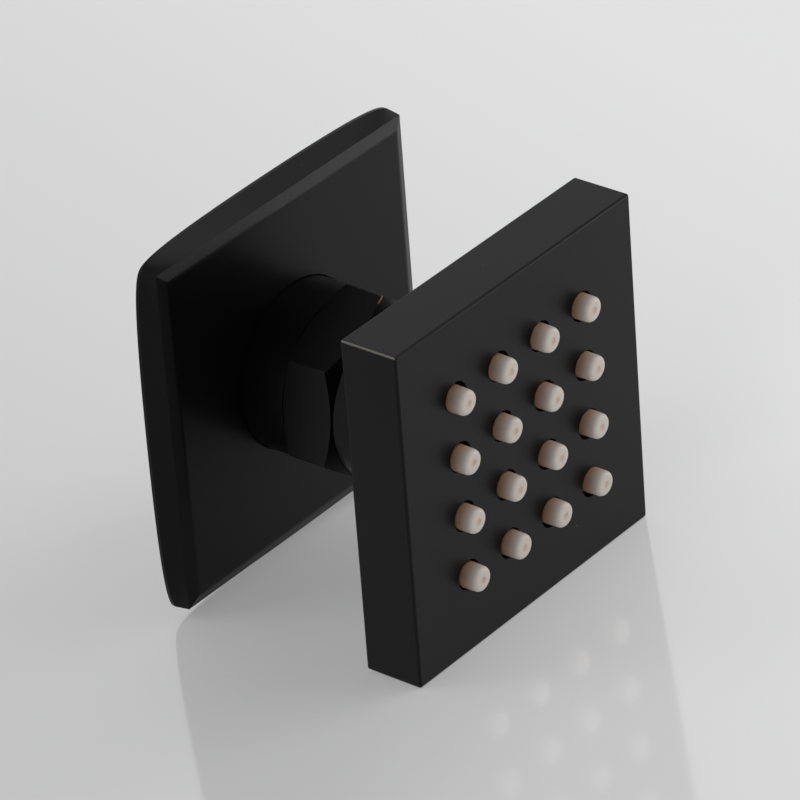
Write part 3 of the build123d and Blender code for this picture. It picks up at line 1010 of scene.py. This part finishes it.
# A browner disc round each outlet.
outlet_disc = add(
    silicone,
    "ShaderNodeMapRange",
    {
        "From Min": 0.36 / NOZZLE_PITCH,
        "From Max": 0.66 / NOZZLE_PITCH,
        "To Min": 1.0,
        "To Max": 0.0,
    },
    {"Value": from_axis},
).outputs["Result"]
cloud = add(
    silicone, "ShaderNodeTexNoise", {"Scale": 1 / (3 * MM), "Detail": 2.0}, {"Vector": place}
).outputs["Fac"]
reach = add(silicone, "ShaderNodeSeparateXYZ", links={"Vector": place}).outputs["Y"]
# Painted shade near the face, fading to a painted sheen at the tip.
painted_shade_to_sheen = add(
    silicone,
    "ShaderNodeMapRange",
    {
        "From Min": -(MAT_FRONT + 1.9) * MM,
        "From Max": -(TIP - 0.2) * MM,
        "To Min": 0.0,
        "To Max": 0.9,
    },
    {"Value": reach},
    interpolation_type="SMOOTHSTEP",
).outputs["Result"]
cloud_and_painted_sheen = add(silicone, "ShaderNodeMath", {1: 0.2}, {0: cloud, 2: painted_shade_to_sheen}, operation="MULTIPLY_ADD")
# Painted shade and sheen: brown at the root, pale cream at the tip.
painted_shade_and_sheen_tone = add(silicone, "ShaderNodeMix", links={"Factor": cloud_and_painted_sheen.outputs[0]}, data_type="RGBA")
painted_shade_and_sheen_tone.inputs[6].default_value = paint("#ab8468")
painted_shade_and_sheen_tone.inputs[7].default_value = paint("#dad1c8")
tone = add(
    silicone,
    "ShaderNodeMix",
    links={"Factor": outlet_disc, 6: painted_shade_and_sheen_tone.outputs[2]},
    data_type="RGBA",
)
tone.inputs[7].default_value = paint("#d0b9a3")
plug(silicone, tone.outputs[2], shader, "Base Color")
shader.inputs["Roughness"].default_value = 0.38
shader.inputs["IOR"].default_value = 1.41
shader.inputs["Subsurface Weight"].default_value = 0.25
shader.inputs["Subsurface Radius"].default_value = (1.0, 0.55, 0.4)
shader.inputs["Subsurface Scale"].default_value = 0.6 * MM
pores = add(
    silicone, "ShaderNodeTexNoise", {"Scale": 1 / (0.25 * MM), "Detail": 2.0}, {"Vector": place}
).outputs["Fac"]
bump = add(silicone, "ShaderNodeBump", {"Strength": 0.1, "Distance": 0.01 * MM}, {"Height": pores})
plug(silicone, bump.outputs["Normal"], shader, "Normal")
wear_it(silicone, mat)

# %% [markdown]
# ## Rubber, polymer and steel
# The small inner pieces are seen only from behind or through the ball joint. Each still gets the
# finish of its own material: dull black rubber, waxy polymer and brushed stainless steel.

# %% Plain finishes with a fine grain


def fine_finish(name, dark, light, low, high, grain_mm, metal=0.0, ior=1.5):
    """A finish whose tone and roughness follow one fine grain."""
    material, shader, place = new_material(name)
    grain = add(
        material,
        "ShaderNodeTexNoise",
        {"Scale": 1 / (grain_mm * MM), "Detail": 3.0},
        {"Vector": place},
    ).outputs["Fac"]
    tone = add(material, "ShaderNodeMix", links={"Factor": grain}, data_type="RGBA")
    tone.inputs[6].default_value = paint(dark)
    tone.inputs[7].default_value = paint(light)
    plug(material, tone.outputs[2], shader, "Base Color")
    shader.inputs["Metallic"].default_value = metal
    shader.inputs["IOR"].default_value = ior
    roughness = add(
        material, "ShaderNodeMapRange", {"To Min": low, "To Max": high}, {"Value": grain}
    )
    plug(material, roughness.outputs["Result"], shader, "Roughness")
    bump = add(
        material, "ShaderNodeBump", {"Strength": 0.15, "Distance": 0.01 * MM}, {"Height": grain}
    )
    plug(material, bump.outputs["Normal"], shader, "Normal")
    return material


rubber = fine_finish("moulded_black_rubber", "#121212", "#1b1b1b", 0.6, 0.8, 0.3, ior=1.52)
white_polymer = fine_finish("turned_white_polymer", "#dddbd3", "#e8e6df", 0.35, 0.5, 0.5, ior=1.48)
grey_polymer = fine_finish("moulded_grey_polymer", "#55585a", "#616466", 0.4, 0.55, 0.4, ior=1.48)
steel = fine_finish("stainless_steel", "#a9a9a6", "#c2c2be", 0.25, 0.4, 0.2, metal=1.0)

nodes = frame["nodes"]
wear_it(rubber, washer, strainer_rim)
wear_it(steel, screws, strainer_disc)
for node, finish in (
    ("flow_restrictor", white_polymer),
    ("restrictor_o_ring", rubber),
    ("seal_cushion", rubber),
    ("ball_seat_ring", white_polymer),
    ("ball_seal", white_polymer),
    ("escutcheon_o_ring", rubber),
    ("stem_o_ring", rubber),
    ("chamber_gasket", rubber),
    ("mat_retainer", grey_polymer),
):
    wear_it(finish, nodes[node])

# %% [markdown]
# ## The table
# The jet stands on a sheet of glossy white acrylic that is lit from below, more from the right than
# from the left. It rests on the bottom of its wall plate and on the bottom front edge of its head.
# The plate reaches 2.75 mm lower than the head, so the sheet slopes by just under 4 degrees against
# the jet's axis. A sheet that glows by itself keeps the picture pale without more light on the jet,
# and its gloss still shows the jet upside down.

# %% Floor
LEFT_LIGHT, RIGHT_LIGHT = 0.135, 0.365
TABLE_GAP = 0.01
TABLE_SLOPE = math.atan((RIM_HALF - HEAD_HALF) / (HEAD_FRONT - RIM_FRONT))
print(f"the table slopes {math.degrees(TABLE_SLOPE):.2f} degrees")
clear_selection()
bpy.ops.mesh.primitive_plane_add(size=3.0)
floor = bpy.context.object
floor.name = "table_top"
floor.rotation_euler = (-TABLE_SLOPE, 0, 0)
floor.location = (0, -RIM_FRONT * MM, -(RIM_HALF + TABLE_GAP) * MM)
table, shader, place = new_material("backlit_acrylic_table")
smear = add(
    table, "ShaderNodeTexNoise", {"Scale": 14.0, "Detail": 3.0}, {"Vector": place}
).outputs["Fac"]
roughness = add(table, "ShaderNodeMapRange", {"To Min": 0.07, "To Max": 0.1}, {"Value": smear})
plug(table, roughness.outputs["Result"], shader, "Roughness")
shader.inputs["Base Color"].default_value = paint("#c0c0c1")
shader.inputs["Emission Color"].default_value = paint("#ffffff")
across = add(
    table, "ShaderNodeVectorMath", {1: (0.92, -0.35, 0)}, {0: place}, operation="DOT_PRODUCT"
).outputs["Value"]
backlight = add(
    table,
    "ShaderNodeMapRange",
    {"From Min": -0.12, "From Max": 0.12, "To Min": LEFT_LIGHT, "To Max": RIGHT_LIGHT},
    {"Value": across},
)
to_front = add(
    table, "ShaderNodeVectorMath", {1: (0.2, -0.98, 0)}, {0: place}, operation="DOT_PRODUCT"
)
front_light = add(
    table,
    "ShaderNodeMapRange",
    {"From Min": 0.03, "From Max": 0.065, "To Min": 0.0, "To Max": 0.06},
    {"Value": to_front.outputs["Value"]},
    interpolation_type="SMOOTHSTEP",
)
light_below = add(
    table,
    "ShaderNodeMath",
    links={0: backlight.outputs["Result"], 1: front_light.outputs["Result"]},
    operation="ADD",
)
plug(table, light_below.outputs[0], shader, "Emission Strength")
shader.inputs["IOR"].default_value = 1.78
floor.data.materials.append(table)

# %% [markdown]
# ## Light and camera
# Black things are lit by what they reflect. A pale room gives the tops of the plate and the head
# their grey sheen, and the glowing sheet gives the faces their own. The room is a little brighter
# at the far right, and darker behind the camera, which leaves the plate's left border dark. Three
# soft lamps do the rest: a low one at the right draws the light band along the plate's top border, a
# high one shapes the nozzles, and one at the back left touches the upper edges. The camera looks
# down on the jet from the left, with a long lens, so the lines stay almost parallel.

# %% World and lamps
WALL_GLOW, CEILING_GLOW = 0.72, 0.22

world = bpy.data.worlds.new("pale_studio")
bpy.context.scene.world = world
world.use_nodes = True
sky = world.node_tree.nodes["Background"]
sky.inputs["Color"].default_value = paint("#fbfbfc")
way = add(world, "ShaderNodeTexCoord").outputs["Generated"]
height = add(world, "ShaderNodeSeparateXYZ", links={"Vector": way}).outputs["Z"]
wall_glow = add(
    world,
    "ShaderNodeMapRange",
    {"From Min": 0.5, "From Max": 0.85, "To Min": WALL_GLOW, "To Max": CEILING_GLOW},
    {"Value": height},
    interpolation_type="SMOOTHSTEP",
)
to_window = add(
    world, "ShaderNodeVectorMath", {1: (0.64, 0.55, 0.54)}, {0: way}, operation="DOT_PRODUCT"
)
window_glow = add(
    world,
    "ShaderNodeMapRange",
    {"From Min": 0.8, "From Max": 0.98, "To Min": 0.0, "To Max": 0.12},
    {"Value": to_window.outputs["Value"]},
    interpolation_type="SMOOTHSTEP",
)
glow = add(
    world,
    "ShaderNodeMath",
    links={0: wall_glow.outputs["Result"], 1: window_glow.outputs["Result"]},
    operation="ADD",
)
to_front = add(
    world, "ShaderNodeVectorMath", {1: (-0.25, -0.93, 0.27)}, {0: way}, operation="DOT_PRODUCT"
)
front_shade = add(
    world,
    "ShaderNodeMapRange",
    {"From Min": 0.35, "From Max": 0.92, "To Min": 1.0, "To Max": 0.4},
    {"Value": to_front.outputs["Value"]},
    interpolation_type="SMOOTHSTEP",
)
shaded = add(
    world,
    "ShaderNodeMath",
    links={0: glow.outputs[0], 1: front_shade.outputs["Result"]},
    operation="MULTIPLY",
)
world.node_tree.links.new(shaded.outputs[0], sky.inputs["Strength"])


def soft_lamp(name, place, size, power):
    """A square lamp that looks at the jet."""
    clear_selection()
    bpy.ops.object.light_add(type="AREA", location=place)
    lamp = bpy.context.object
    lamp.name = name
    lamp.data.size = size
    lamp.data.energy = power
    to_jet = Vector((0, -0.02, 0)) - Vector(place)
    lamp.rotation_euler = to_jet.to_track_quat("-Z", "Y").to_euler()
    lamp.visible_camera = False
    print(f"{name}: {power} W, {size} m wide")


soft_lamp("lamp_right", (0.36, -0.3, 0.012), 0.14, 0.42)
soft_lamp("lamp_high", (0.45, -0.5, 0.95), 0.7, 2.7)
soft_lamp("lamp_back_left", (-0.42, 0.48, 0.58), 0.3, 0.7)
print("world: walls", WALL_GLOW, "and ceiling", CEILING_GLOW)

# %% Camera
clear_selection()
bpy.ops.object.camera_add(location=(-0.524348, -0.467187, 0.409061))
camera = bpy.context.object
camera.name = "camera"
aim = Vector((0.007878, -0.015371, -0.006619))
look = (aim - camera.location).to_track_quat("-Z", "Y")
roll = Matrix.Rotation(math.radians(-4.473), 3, "Z").to_quaternion()
camera.rotation_mode = "QUATERNION"
camera.rotation_quaternion = look @ roll
camera.data.sensor_width = 36.0
camera.data.lens = 6036.4 / 800 * 36.0
print(f"camera {camera.location.length:.3f} m from the inlet, lens {camera.data.lens:.0f} mm")
camera.data.clip_start = 0.05
camera.data.clip_end = 20.0
bpy.context.scene.camera = camera
bpy.context.scene.view_settings.view_transform = "Standard"

# %% Update the scene
bpy.context.view_layer.update()
